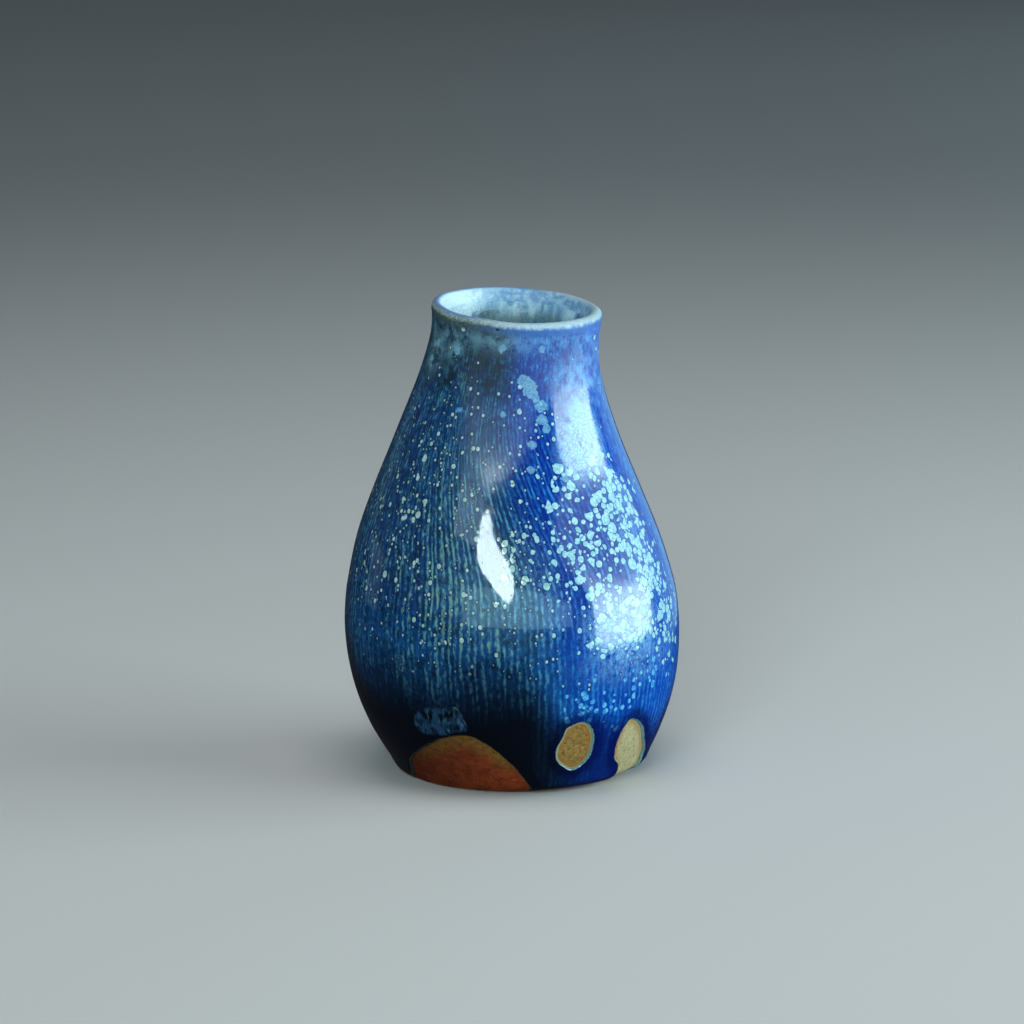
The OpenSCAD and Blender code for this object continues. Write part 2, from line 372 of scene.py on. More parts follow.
def masks(az, z):
    one = 0 * az + 0 * z
    m = {}
    # flow of the streaks: they lean over above the belly, in front
    lean = ease((z - 42) / 40) * (19 * 0.5 ** ((turn(az - 10) / 48) ** 2) + 15 * 0.5 ** ((turn(az - 170) / 50) ** 2))
    a = np.radians(az + lean)
    m["flow"] = np.stack([np.cos(a), np.sin(a), z + one], -1)
    # big merging crystals, in a slanting band on the right, and a second patch round the back
    big = 0.9 * spot(az, z, 53, 57, 16, 13, -0.35, 4)
    big = np.maximum(big, 0.95 * spot(az, z, 62, 41, 11, 12, -0.5, 3))
    big = np.maximum(big, 0.48 * spot(az, z, 30, 55, 10, 14, -0.1, 4))
    big = np.maximum(big, 0.8 * spot(az, z, 42, 38, 14, 6, 0, 4))
    big = np.maximum(big, 0.75 * spot(az, z, 150, 58, 22, 16, 0.3, 3))
    big = np.maximum(big, 0.55 * spot(az, z, 178, 38, 14, 12, 0.2, 3))
    m["big"] = np.clip(big, 0, 1)
    small = 0.60 * spot(az, z, -30, 58, 50, 32, 0, 4)
    small = np.maximum(small, 1.0 * spot(az, z, 10, 51, 19, 11, -0.4, 4))
    small = np.maximum(small, 0.78 * spot(az, z, -45, 58, 22, 24, 0, 3))
    small = np.maximum(small, 0.65 * spot(az, z, 10, 66, 20, 12, 0, 3))
    small = np.maximum(small, 0.35 * spot(az, z, 10, 50, 60, 34, 0, 4))
    small = np.maximum(small, 0.65 * spot(az, z, -140, 55, 60, 32, 0, 4))
    m["small"] = small * ease((z - 20) / 10)
    m["small"] = np.clip(np.maximum(m["small"], 0.8 * spot(az, z, 23, 53, 10, 13, -0.2, 3)), 0, 1)
    chain = np.maximum(spot(az, z, 27, 20.5, 10, 4.0, 0, 3), spot(az, z, 41, 20.5, 6, 6, 0, 3))
    m["chain"] = np.maximum(chain, 0.8 * spot(az, z, 54, 25, 10, 3, 0, 3))
    start = -2 - 0.30 * (z - 48)
    royal = ease((turn(az) - start) / 24) * (1 - ease((turn(az) - 105) / 45))
    m["royal"] = royal
    olive = spot(az, z, -12, 40, 30, 22, 0, 4) + 0.75 * spot(az, z, -45, 60, 30, 30, 0, 4) + 0.7 * spot(az, z, -150, 50, 60, 40, 0, 4)
    m["olive"] = np.clip(olive, 0, 1) * (1 - 0.9 * royal)
    # dark foot: deep on the left, thin on the right; partly the glaze's own dark foot, partly painted shade on the
    # left, away from the light
    left = 1 - ease((turn(az) - 0) / 26) * (turn(az) > 0) * (turn(az) < 110)
    w = 7 + 10 * left
    top = np.where(left > 0, 16 + 17 * left - 9 * ease((np.abs(turn(az - 15)) - 95) / 40), 16) + 1.5 * waves(az, z, 9, (3, 17), 0.1)
    m["dark"] = np.sqrt(ease((top - z) / w)) * (0.85 + 0.15 * left)
    # milky clouds
    haze = 0.9 * spot(az, z, -64, 90.5, 8, 2.6, 0, 2) + 0.8 * spot(az, z, -44, 91.5, 5, 1.6)
    haze = haze + 0.8 * spot(az, z, -66, 88, 5, 2) + 0.65 * spot(az, z, -20, 94.5, 70, 1.6)
    haze = haze + 0.62 * spot(az, z, 46, 84, 18, 6, 0, 4) + 0.6 * spot(az, z, 140, 86, 40, 6) + 0.35 * spot(az, z, 70, 90, 20, 8)
    m["haze"] = np.clip(haze, 0, 1)
    satin = spot(az, z, 43, 55.5, 23, 11, -0.1, 6) + 0.95 * spot(az, z, -6, 80, 21, 10.5, 0, 3.2) + 0.5 * spot(az, z, 150, 58, 22, 14) + 0.3 * spot(az, z, 70, 50, 14, 20)
    m["satin"] = np.clip(satin, 0, 1)
    lines = spot(az, z, 2, 44, 38, 30, 0, 4) + 0.5 * spot(az, z, 60, 24, 40, 14, 0, 4)
    lines = lines + 0.7 * spot(az, z, 180, 45, 90, 26, 0, 4) + 0.30
    neck = ease((z - 79) / 9)
    m["lines"] = np.clip(lines, 0, 1) * (1 - 0.85 * neck)
    m["neck"] = neck
    # veil: milky crackle laid where the window highlights and the table's reflection fall, partly the glaze's own milk,
    # partly painted highlight and reflection
    veil = 0.9 * spot(az, z, 43, 73, 15, 7, 0.4, 5) + 0.7 * spot(az, z, 42, 36.5, 15, 6, 0, 5) + 0.4 * spot(az, z, 46, 29, 18, 4, 0, 3) + 0.25 * spot(az, z, 56, 52, 9, 12, 0, 4)
    m["veil"] = np.clip(veil, 0, 1)
    # painted reflection: a pale haze at the foot of the centre highlight and a soft haze band above it
    m["mist"] = spot(az, z, -1, 45, 20, 9, 0, 3) + 0.5 * spot(az, z, -18, 68, 10, 10)
    # the right flank painted brighter and bluer: partly the glaze's own blue, partly painted light from the right
    m["far"] = ease((turn(az) - 48) / 14) * (1 - ease((turn(az) - 105) / 30))
    return m


def skin_attributes(az, z, edge=None):
    m = masks(az, z)
    edge = np.full(len(az), 9.0) if edge is None else np.clip(edge, 0, 9)
    ovals = ease((turn(az) - 9) / 3) * (turn(az) < 90)
    return {"flow": m["flow"], "crystals": np.stack([m["big"], m["small"], m["chain"]], -1),
            "tint": np.stack([m["royal"], m["olive"], m["dark"]], -1),
            "cover": np.stack([m["haze"], m["satin"], edge], -1),
            "more": np.stack([m["lines"], m["neck"], m["veil"]], -1),
            "local": np.stack([ovals, m["mist"], m["far"]], -1)}


# ---------------------------------------------------------------- 1: outer coat
COLS = 384
rows = steps(0.3, 22, 0.6) + steps(22, TOP_Z, 1.3)[1:]
pts, polys = grid(COLS, rows)
for level in (0.0, 0.10, 0.28, 0.6):
    pts, polys = split(pts, polys, to_edge, level)
P = np.array(pts)
edge = to_edge(P[:, 0], P[:, 1])
polys = [p for p, d in zip(polys, to_edge(*middle(P, polys))) if d > 0]
polys, _ = trimmed(polys, lambda e: min(P[e[0], 1], P[e[1], 1]) > TOP_Z - 0.01)
used = np.zeros(len(P), bool)
for p in polys:
    used[p] = True
new = np.cumsum(used) - 1
polys = [list(new[p]) for p in polys]
P, edge = P[used], np.maximum(edge[used], 0)
az, z = P[:, 0], P[:, 1]
count = np.zeros(len(P), int)
rim_edges = {}
for p in polys:
    for a, b in zip(p, p[1:] + p[:1]):
        rim_edges[(a, b)] = rim_edges.get((a, b), 0) + 1
open_edges = [(a, b) for a, b in rim_edges if (b, a) not in rim_edges]
on_edge = np.zeros(len(P), bool)
for a, b in open_edges:
    if z[a] < TOP_Z - 0.01:
        on_edge[a] = True
    if z[b] < TOP_Z - 0.01:
        on_edge[b] = True
edge[on_edge] = 0
u = np.clip(edge / 0.6, 0, 1)
roll = np.sqrt(np.clip(1 - (1 - u) ** 2, 0, 1))
field = glaze_r(z) - clay_r(z)
near = 1 + 0.25 * np.exp(-((edge - 0.7) / 0.8) ** 2) * (edge > 0)      # the roll stands a little proud
relief = wall_relief(az, z)
thick = (field * near + relief * ease(edge / 2)) * roll
thick[on_edge] = 0
inner = warp(clay_r(z), z, az)
outer = warp(clay_r(z) + thick, z, az)
n = len(P)
# the two skins share the vertices where the coat ends
low = np.where(on_edge, np.arange(n), n + np.arange(n))
co = np.concatenate([outer, inner])
faces = [list(p) for p in polys] + [[int(low[i]) for i in reversed(p)] for p in polys]
top_edges = [(a, b) for a, b in open_edges if z[a] > TOP_Z - 0.01 and z[b] > TOP_Z - 0.01]
faces += [[int(b), int(a), int(low[a]), int(low[b])] for a, b in top_edges]
keep = np.zeros(2 * n, bool)
for f in faces:
    keep[f] = True
new = np.cumsum(keep) - 1
faces = [[int(new[i]) for i in f] for f in faces]
atts = skin_attributes(np.concatenate([az, az]), np.concatenate([z, z]), np.concatenate([edge, edge]))
atts = {k: v[keep] for k, v in atts.items()}
sharp = [(int(new[a]), int(new[b])) for a, b in top_edges] + [(int(new[low[a]]), int(new[low[b]])) for a, b in top_edges]
coat = build("blue_glaze_coat", co[keep], faces, atts, sharp)

# ---------------------------------------------------------------- 2: clay pot
inside_z = [zz for zz in steps(TOP_Z, BOWL_Z + 1, 2.5)]
arc = [(clay_r(WALL_TOP) - WALL_LIP / 2 + WALL_LIP / 2 * math.cos(math.radians(t)),
        WALL_TOP + WALL_LIP / 2 * math.sin(math.radians(t))) for t in range(0, 181, 20)]
bowl = [((bore_r(BOWL_Z - (BOWL_Z - FLOOR_Z) * math.sin(math.radians(t)))) * math.cos(math.radians(t)),
         BOWL_Z - (BOWL_Z - FLOOR_Z) * math.sin(math.radians(t))) for t in range(0, 88, 6)]
under = ([(0, RECESS)] + [(r, RECESS) for r in steps(1, FOOT_R - RING_W - 1.6, 0.8)]
         + [(FOOT_R - RING_W - 1.2, RECESS * 0.93), (FOOT_R - RING_W - 0.8, RECESS * 0.7),
            (FOOT_R - RING_W - 0.4, RECESS * 0.3), (FOOT_R - RING_W - 0.05, 0.06), (FOOT_R - RING_W + 0.3, 0.0)]
         + [(r, 0.0) for r in steps(FOOT_R - RING_W + 0.8, FOOT_R - 0.5, 0.6)]
         + [(FOOT_R, 0.02), (FOOT_R + 0.6, 0.07), (FOOT_R + 1.2, 0.15), (FOOT_R + 1.9, 0.28), (FOOT_R + 2.6, 0.5)])
wall = [(float(clay_r(zz)), zz) for zz in steps(0.8, 17.5, 0.45) + steps(17.5, WALL_TOP, 3)[1:-1]]
profile = under + wall + arc + [(float(bore_r(zz)), zz) for zz in inside_z] + bowl + [(0, FLOOR_Z)]
n_under, n_wall = len(under), len(wall)
PITS = np.random.default_rng(41)
pit_az, pit_z = PITS.uniform(-62, 70, 150), PITS.uniform(0.5, 16, 150)
pit_r, pit_d = PITS.uniform(0.25, 0.6, 150), PITS.uniform(0.04, 0.16, 150)


def clay_relief(az, k, r, z):
    if not n_under <= k < n_under + n_wall or z > 17.5:
        if k < n_under and r > 1:
            return 0 * az
        return 0 * az
    inside = ease(-to_mark(az, np.full(len(az), z)) / 0.5)
    if not inside.any():
        return 0 * az
    d = 0.035 * waves(az, z, 31, (20, 90), 2.5) + 0.02 * waves(az, z, 32, (60, 160), 4.0)
    for a0, z0, rr, dd in zip(pit_az, pit_z, pit_r, pit_d):
        q = np.hypot(np.radians(turn(az - a0)) * 30, (z - z0) * 1.15) / rr
        d = d - dd * np.clip(1 - q * q, 0, 1) ** 1.5
    d = d - 0.10                               # the fingers rubbed the slip away a little
    return d * inside


co, polys, info = lathe([(float(r), float(zz)) for r, zz in profile], 480, clay_relief)
face_edge = to_mark(info[:, 0], np.clip(info[:, 1], -2, 20))
face_edge[(info[:, 2] < n_under) | (info[:, 2] >= n_under + n_wall)] = 9
where = np.where(info[:, 2] < n_under, 1.0, 0.0)
clay = build("stoneware_pot", co, polys,
             {"pot": np.stack([info[:, 0], info[:, 1], where], -1), "depth": np.clip(-face_edge, -9, 9)})

# ---------------------------------------------------------------- 3: lining
def lining(grow, rise, step_z, step_t):
    zs = steps(TOP_Z, BOWL_Z + 1, step_z)
    side = [(float(bore_r(zz)) - grow, zz) for zz in zs]
    floor = []
    for t in steps(0, 84, step_t):
        s, c = math.sin(math.radians(t)), math.cos(math.radians(t))
        zz = BOWL_Z - (BOWL_Z - FLOOR_Z - rise) * s
        floor.append(((float(bore_r(zz)) - grow) * c, zz))
    return side + floor


seen = lining(LINING_T, POOL_T, 1.0, 3)
hid = lining(0.0, 0.0, 2.5, 6)


def lining_relief(az, k, r, z):
    if k <= len(hid):
        return 0 * az
    # finger grooves from throwing, winding down the inside
    return ease((TOP_Z - z) / 5) * (0.10 * np.sin(2 * math.pi * z / 5.4 + np.radians(az))
                                    + 0.04 * waves(az, z, 51, (1, 9), 0.4)) * min(r / 8, 1)


profile = [(0, FLOOR_Z)] + hid[::-1] + seen + [(0, FLOOR_Z + POOL_T)]
co, polys, info = lathe([(float(r), float(zz)) for r, zz in profile], 288, lining_relief)
n_hid = len(hid)
cols = 288
sharp = []
for k in (n_hid, n_hid + 1):
    sharp += [(2 + (k - 1) * cols + j, 2 + (k - 1) * cols + (j + 1) % cols) for j in range(cols)]
a = np.radians(info[:, 0])
lining_ob = build("lining_coat", co, polys,
                  {"flow": np.stack([np.cos(a), np.sin(a), info[:, 1]], -1)}, sharp)

# ---------------------------------------------------------------- 4: bead over the lip
top_r = float(clay_r(WALL_TOP)) - WALL_LIP / 2
out_side = [(float(glaze_r(zz)), zz) for zz in steps(TOP_Z, WALL_TOP - 0.2, 0.25)]
over = [(top_r + (WALL_LIP / 2 + BEAD_T) * math.cos(math.radians(t)),
         WALL_TOP + (WALL_LIP / 2 + BEAD_T) * math.sin(math.radians(t))) for t in range(0, 181, 9)]
in_side = [(float(bore_r(zz)) - LINING_T + (LINING_T - BEAD_T) * float(ease((zz - TOP_Z) / 1.2)), zz)
           for zz in steps(WALL_TOP - 0.2, TOP_Z, 0.25)]
back_in = [(float(bore_r(TOP_Z)), TOP_Z)]
over_back = [(top_r + WALL_LIP / 2 * math.cos(math.radians(t)), WALL_TOP + WALL_LIP / 2 * math.sin(math.radians(t)))
             for t in range(180, -1, -18)]
back_out = [(float(clay_r(TOP_Z)), TOP_Z)]
profile = out_side + over + in_side + back_in + over_back + back_out
n_seen = len(out_side) + len(over) + len(in_side)


def bead_relief(az, k, r, z):
    if k >= n_seen:
        return 0 * az
    crown = ease((z - TOP_Z) / 1.0)
    return crown * 0.035 * waves(az, z, 61, (3, 40), 0.8) * (1 if k < n_seen / 2 else -1)


co, polys, info = ring([(float(r), float(zz)) for r, zz in profile], COLS, bead_relief)
# the lip was worn and wiped uneven: it rises and falls a little round the mouth
rise = 0.10 * waves(info[:, 0], 0 * info[:, 1], 62, (2, 9), 0) * ease((info[:, 1] - TOP_Z - 0.4) / 1.2)
rise[info[:, 2] >= n_seen] = 0
# a burst bubble on the outer edge, in front
pit = np.exp(-(np.hypot(np.radians(turn(info[:, 0] + 13)) * 17.6, info[:, 1] - 97.1) / 0.42) ** 2)
pit[info[:, 2] >= len(out_side) + 4] = 0
toward = np.stack([-np.cos(np.radians(info[:, 0] - 90)), -np.sin(np.radians(info[:, 0] - 90)), 0 * pit], -1)
co = co + toward * (0.16 * pit)[:, None]
co[:, 2] += rise - 0.10 * ease((info[:, 1] - TOP_Z - 0.4) / 1.2) * (info[:, 2] < n_seen)
sharp = []
for k in (0, n_seen - 1, n_seen, len(profile) - 1):
    sharp += [(k * COLS + j, k * COLS + (j + 1) % COLS) for j in range(COLS)]
lip_az, lip_z = info[:, 0], np.where(info[:, 2] < len(out_side) + len(over) // 2, info[:, 1], 99.0)
crest = np.where(info[:, 2] < n_seen, np.clip((info[:, 2] - len(out_side)) / len(over), -1, 2), 0.5)
attrs = skin_attributes(lip_az, np.minimum(lip_z, 97.5))
attrs["lip"] = np.stack([crest, pit, info[:, 1]], -1)
bead = build("lip_bead", co, polys, attrs, sharp)

# ---------------------------------------------------------------- 5: second dab
dab_rows = steps(12, 22, 0.3)
pts, polys = grid(90, dab_rows, -44.0, -12.0, closed=False)


to_dab = Field(-46, -10, 10, 24, lambda az, z: -distance(az, z, DAB, 0.22, 8))
for level in (0.0, 0.12, 0.4, 0.9):
    pts, polys = split(pts, polys, to_dab, level)
P = np.array(pts)
d = to_dab(P[:, 0], P[:, 1])
polys, outline = trimmed([p for p, v in zip(polys, to_dab(*middle(P, polys))) if v > 0])
rim = np.zeros(len(P), bool)
rim[sorted(outline)] = True
used = np.zeros(len(P), bool)
for p in polys:
    used[p] = True
new = np.cumsum(used) - 1
polys = [[int(new[i]) for i in p] for p in polys]
P, rim = P[used], rim[used]
d = np.where(rim, 0, np.maximum(d[used], 0.04))
az, z = P[:, 0], P[:, 1]
u = np.clip(d / 0.9, 0, 1)
t = 0.17 * np.sqrt(1 - (1 - u) ** 2) * (1 + 0.25 * waves(az, z, 71, (20, 70), 1.5) * u)
base = glaze_r(z) + wall_relief(az, z) - 0.01
outer, inner = warp(base + t, z, az), warp(base, z, az)
n = len(P)
low = np.where(rim, np.arange(n), n + np.arange(n))
faces = polys + [[int(low[i]) for i in reversed(p)] for p in polys]
keep = np.zeros(2 * n, bool)
for f in faces:
    keep[f] = True
new = np.cumsum(keep) - 1
faces = [[int(new[i]) for i in f] for f in faces]
a = np.radians(np.concatenate([az, az]))
dab = build("second_dab", np.concatenate([outer, inner])[keep], faces,
            {"flow": np.stack([np.cos(a), np.sin(a), np.concatenate([z, z])], -1)[keep],
             "depth": np.concatenate([d, d])[keep]})


# ---------------------------------------------------------------- materials
class Tree:
    """Short names for building a material's nodes."""

    def __init__(self, name):
        self.mat = bpy.data.materials.new(name)
        self.mat.use_nodes = True
        self.nt = self.mat.node_tree
        self.nt.nodes.clear()
        self.out = self.nt.nodes.new("ShaderNodeOutputMaterial")
        self.p = self.nt.nodes.new("ShaderNodeBsdfPrincipled")
        self.nt.links.new(self.p.outputs[0], self.out.inputs[0])

    def put(self, socket, value):
        if isinstance(value, bpy.types.NodeSocket):
            self.nt.links.new(value, socket)
        elif value is not None:
            if socket.type == "RGBA" and len(value) == 3:
                value = (*value, 1)
            socket.default_value = value

    def math(self, op, a, b=None, c=None, clamp=False):
        n = self.nt.nodes.new("ShaderNodeMath")
        n.operation = op
        n.use_clamp = clamp
        for s, v in zip(n.inputs, (a, b, c)):
            self.put(s, v)
        return n.outputs[0]

    def add(self, a, b):
        return self.math("ADD", a, b)

    def sub(self, a, b):
        return self.math("SUBTRACT", a, b)

    def mul(self, a, b, clamp=False):
        return self.math("MULTIPLY", a, b, clamp=clamp)

    def top(self, a, b):
        return self.math("MAXIMUM", a, b)

    def ramp(self, x, x0, x1, y0=0.0, y1=1.0, soft=True):
        n = self.nt.nodes.new("ShaderNodeMapRange")
        n.interpolation_type = "SMOOTHSTEP" if soft else "LINEAR"
        self.put(n.inputs["Value"], x)
        for k, v in (("From Min", x0), ("From Max", x1), ("To Min", y0), ("To Max", y1)):
            self.put(n.inputs[k], v)
        return n.outputs["Result"]

    def mix(self, f, a, b, kind="MIX"):
        n = self.nt.nodes.new("ShaderNodeMix")
        n.data_type = "RGBA"
        n.blend_type = kind
        self.put(n.inputs[0], f)
        self.put(n.inputs[6], a)
        self.put(n.inputs[7], b)
        return n.outputs[2]

    def vmath(self, op, a, b=None, scale=None):
        n = self.nt.nodes.new("ShaderNodeVectorMath")
        n.operation = op
        self.put(n.inputs[0], a)
        if b is not None:
            self.put(n.inputs[1], b)
        if scale is not None:
            self.put(n.inputs["Scale"], scale)
        return n.outputs["Value" if op in ("LENGTH", "DISTANCE", "DOT_PRODUCT") else "Vector"]

    def xyz(self, v):
        n = self.nt.nodes.new("ShaderNodeSeparateXYZ")
        self.put(n.inputs[0], v)
        return n.outputs

    def vec(self, x, y, z):
        n = self.nt.nodes.new("ShaderNodeCombineXYZ")
        for s, v in zip(n.inputs, (x, y, z)):
            self.put(s, v)
        return n.outputs[0]

    def attr(self, name):
        n = self.nt.nodes.new("ShaderNodeAttribute")
        n.attribute_name = name
        return n.outputs

    def place(self):
        """The surface point, in mm."""
        n = self.nt.nodes.new("ShaderNodeTexCoord")
        return self.vmath("SCALE", n.outputs["Object"], scale=1000.0)

    def noise(self, v, scale, detail=2.0, rough=0.5, warp_by=0.0, lac=2.0):
        n = self.nt.nodes.new("ShaderNodeTexNoise")
        self.put(n.inputs["Vector"], v)
        n.inputs["Scale"].default_value = scale
        n.inputs["Detail"].default_value = detail
        n.inputs["Roughness"].default_value = rough
        n.inputs["Lacunarity"].default_value = lac
        n.inputs["Distortion"].default_value = warp_by
        return n.outputs["Fac"]

    def noise3(self, v, scale, detail=2.0):
        n = self.nt.nodes.new("ShaderNodeTexNoise")
        self.put(n.inputs["Vector"], v)
        n.inputs["Scale"].default_value = scale
        n.inputs["Detail"].default_value = detail
        return n.outputs["Color"]

    def cells(self, v, scale, feature="F1", randomness=1.0):
        n = self.nt.nodes.new("ShaderNodeTexVoronoi")
        n.feature = feature
        self.put(n.inputs["Vector"], v)
        n.inputs["Scale"].default_value = scale
        n.inputs["Randomness"].default_value = randomness
        return n.outputs

    def bump(self, height, size, normal=None, strength=1.0):
        """height 0 to 1 times size mm."""
        n = self.nt.nodes.new("ShaderNodeBump")
        n.inputs["Strength"].default_value = strength
        n.inputs["Distance"].default_value = size * MM
        self.put(n.inputs["Height"], height)
        if normal is not None:
            self.put(n.inputs["Normal"], normal)
        return n.outputs[0]

    def wander(self, v, scale, amount):
        """v moved about by noise, amount in mm."""
        d = self.vmath("SUBTRACT", self.noise3(v, scale, 1.0), (0.5, 0.5, 0.5))
        return self.vmath("ADD", v, self.vmath("SCALE", d, scale=amount * 2))


def srgb(r, g, b):
    return tuple(((c / 255) / 12.92) if c / 255 <= 0.04045 else ((c / 255 + 0.055) / 1.055) ** 2.4 for c in (r, g, b))


def crystals(t, p, size, radius, density, seed, wobble=0.25, small=0.45):
    """Round crystals up to radius mm in cells of size mm. Gives cover, height, and the dark moat round them."""
    v = t.wander(t.vmath("ADD", p, (seed * 13.1, seed * 7.7, seed * 3.3)), 0.9 / size, wobble * size * 0.35)
    c = t.cells(v, 1.0 / size)
    rnd = t.xyz(c["Color"])
    dist = t.mul(c["Distance"], size)
    on = t.ramp(t.sub(density, rnd[0]), 0.0, 0.05)
    r = t.mul(t.mul(radius, t.ramp(rnd[1], 0.0, 1.0, small, 1.0, soft=False)), on)
    gap = t.mul(t.cells(v, 1.0 / size, "DISTANCE_TO_EDGE")["Distance"], size)
    cover = t.mul(t.ramp(t.sub(r, dist), -0.05, 0.07), t.ramp(gap, 0.02, 0.09))
    dome = t.ramp(t.math("DIVIDE", dist, t.top(r, 0.01)), 0.55, 1.0, 1.0, 0.0)
    moat = t.mul(t.ramp(t.sub(dist, r), 0.42, 0.05), t.ramp(on, 0.3, 0.9))
    return cover, t.mul(dome, cover), moat


# larger pale blooms: azimuth, height, radius in mm
BLOOMS = [(7, 86.6, 1.1), (9.5, 86.0, 1.3), (12.5, 85.2, 1.5), (14, 83.6, 1.2), (16, 82.6, 0.9), (10.5, 84.4, 0.9),
          (19.5, 81.0, 1.25), (19.5, 78.2, 1.15), (21.5, 76.3, 0.9), (13.5, 73.4, 0.95), (11.5, 68.6, 0.75),
          (28, 66.6, 0.9), (-9, 93, 0.8), (18, 93.2, 0.6), (-42, 91.5, 0.9), (-64, 91.6, 0.8), (-68, 88.5, 0.7),
          (-3, 79.4, 0.5), (-30, 80, 0.6), (150, 80, 1.3), (156, 78, 1.0), (171, 74, 1.1), (-160, 69, 0.9)]


def blue_glaze(name, lip=False):
    t = Tree(name)
    p = t.place()
    flow = t.attr("flow")["Vector"]
    fx, fy, fz = t.xyz(flow)
    big, small, chain = t.xyz(t.attr("crystals")["Vector"])
    royal, olive, dark = t.xyz(t.attr("tint")["Vector"])
    haze, satin, edge = t.xyz(t.attr("cover")["Vector"])
    lines, neck, veil = t.xyz(t.attr("more")["Vector"])
    ovals, mist, far = t.xyz(t.attr("local")["Vector"])

    # fine streaks that run down the wall
    def streak_space(zscale):
        return t.vec(t.mul(fx, 33.0), t.mul(fy, 33.0), t.mul(fz, zscale))

    wav = t.noise(streak_space(0.06), 0.30, 2.0)
    angle = t.math("ARCTAN2", fy, fx)
    phase = t.add(t.mul(angle, 154.0), t.add(t.mul(wav, 10.0), t.mul(t.noise(p, 0.20, 2.0), 7.0)))
    comb = t.add(t.mul(t.math("SINE", phase), 0.5), 0.5)
    thin = t.ramp(t.noise(streak_space(0.13), 1.3, 2.0, 0.55), 0.33, 0.67)
    beads = t.ramp(t.noise(streak_space(0.55), 1.5, 3.0, 0.62), 0.30, 0.70)
    broad = t.ramp(t.noise(streak_space(0.06), 0.17, 2.0, 0.5), 0.30, 0.70)
    mottle = t.ramp(t.noise(p, 0.75, 4.0, 0.68), 0.30, 0.70)
    ordered = t.add(t.mul(comb, 0.36), t.add(t.mul(thin, 0.22), t.mul(beads, 0.42)))
    loose = t.add(t.mul(thin, 0.28), t.add(t.mul(beads, 0.30), t.mul(mottle, 0.42)))
    s = t.add(t.mul(ordered, lines), t.mul(loose, t.sub(1.0, lines)))
    s = t.add(t.mul(s, 0.84), t.mul(t.sub(broad, 0.5), 0.14))
    s = t.ramp(s, 0.14, 0.88)

    # on the far right flank the blues are painted brighter: partly the glaze's own blue, partly painted light from the
    # right
    navy = t.mix(royal, srgb(6, 37, 84), t.mix(far, srgb(3, 34, 116), srgb(6, 44, 138)))
    mid = t.mix(royal, srgb(20, 70, 112), t.mix(far, srgb(8, 64, 140), srgb(14, 76, 165)))
    top = t.mix(royal, t.mix(olive, srgb(52, 126, 158), srgb(96, 150, 142)), t.mix(far, srgb(50, 126, 178), srgb(56, 134, 196)))
    colour = t.mix(t.ramp(s, 0.0, 0.5), navy, mid)
    colour = t.mix(t.ramp(s, 0.42, 1.0, 0.0, 0.85), colour, top)
    warm = t.mul(t.mul(olive, t.ramp(s, 0.45, 0.9)), t.ramp(t.noise(streak_space(0.4), 0.9, 3.0, 0.6), 0.44, 0.62))
    colour = t.mix(t.mul(warm, 0.6), colour, srgb(112, 126, 84))
    # the streaks blur a little low on the belly
    colour = t.mix(t.ramp(t.add(fz, t.mul(t.sub(mottle, 0.5), 6.0)), 41.0, 29.0, 0.0, 0.34), colour,
                   t.mix(royal, srgb(26, 80, 126), srgb(16, 74, 152)))
    # near black, greenish pools between the streaks on the left
    pools = t.mul(t.add(t.mul(olive, 0.7), t.mul(t.mul(neck, t.sub(1.0, royal)), 1.0)), t.ramp(t.noise(p, 0.42, 5.0, 0.66), 0.46, 0.62))
    colour = t.mix(t.mul(pools, t.ramp(s, 0.2, 0.9, 1.0, 0.3)), colour, srgb(5, 28, 44))

    # painted reflection: pale haze round the centre highlight
    colour = t.mix(t.mul(mist, t.ramp(s, 0.0, 1.0, 0.12, 0.42)), colour, srgb(122, 172, 186))
    # the neck is darker and greener on the left, and not combed
    teal = t.mul(t.mul(neck, t.sub(1.0, royal)), t.ramp(t.noise(p, 0.35, 4.0, 0.65), 0.34, 0.60, 0.35, 0.95))
    colour = t.mix(teal, colour, t.mix(t.ramp(s, 0.3, 0.9), srgb(5, 34, 50), srgb(28, 84, 100)))

    # milky clouds, and veils that are partly the glaze's milky crackle and partly painted highlight and reflection
    # where the window and the table are mirrored
    grain = t.noise(p, 2.6, 3.0, 0.7)
    cloud = t.mul(haze, t.ramp(t.add(t.mul(t.noise(p, 0.42, 4.0, 0.62), 0.8), t.mul(grain, 0.2)), 0.38, 0.60))
    colour = t.mix(t.mul(cloud, 0.85), colour, t.mix(royal, srgb(112, 154, 168), srgb(104, 160, 212)))
    net = t.cells(t.wander(p, 0.9, 0.5), 0.95, "DISTANCE_TO_EDGE")["Distance"]
    crackle = t.ramp(net, 0.03, 0.16)
    milk_and_painted_highlight = t.mul(veil, t.mul(t.ramp(t.noise(p, 0.5, 4.0, 0.65), 0.30, 0.52), t.add(0.45, t.mul(crackle, 0.55))))
    colour = t.mix(t.mul(milk_and_painted_highlight, 0.8), colour, srgb(138, 188, 222))

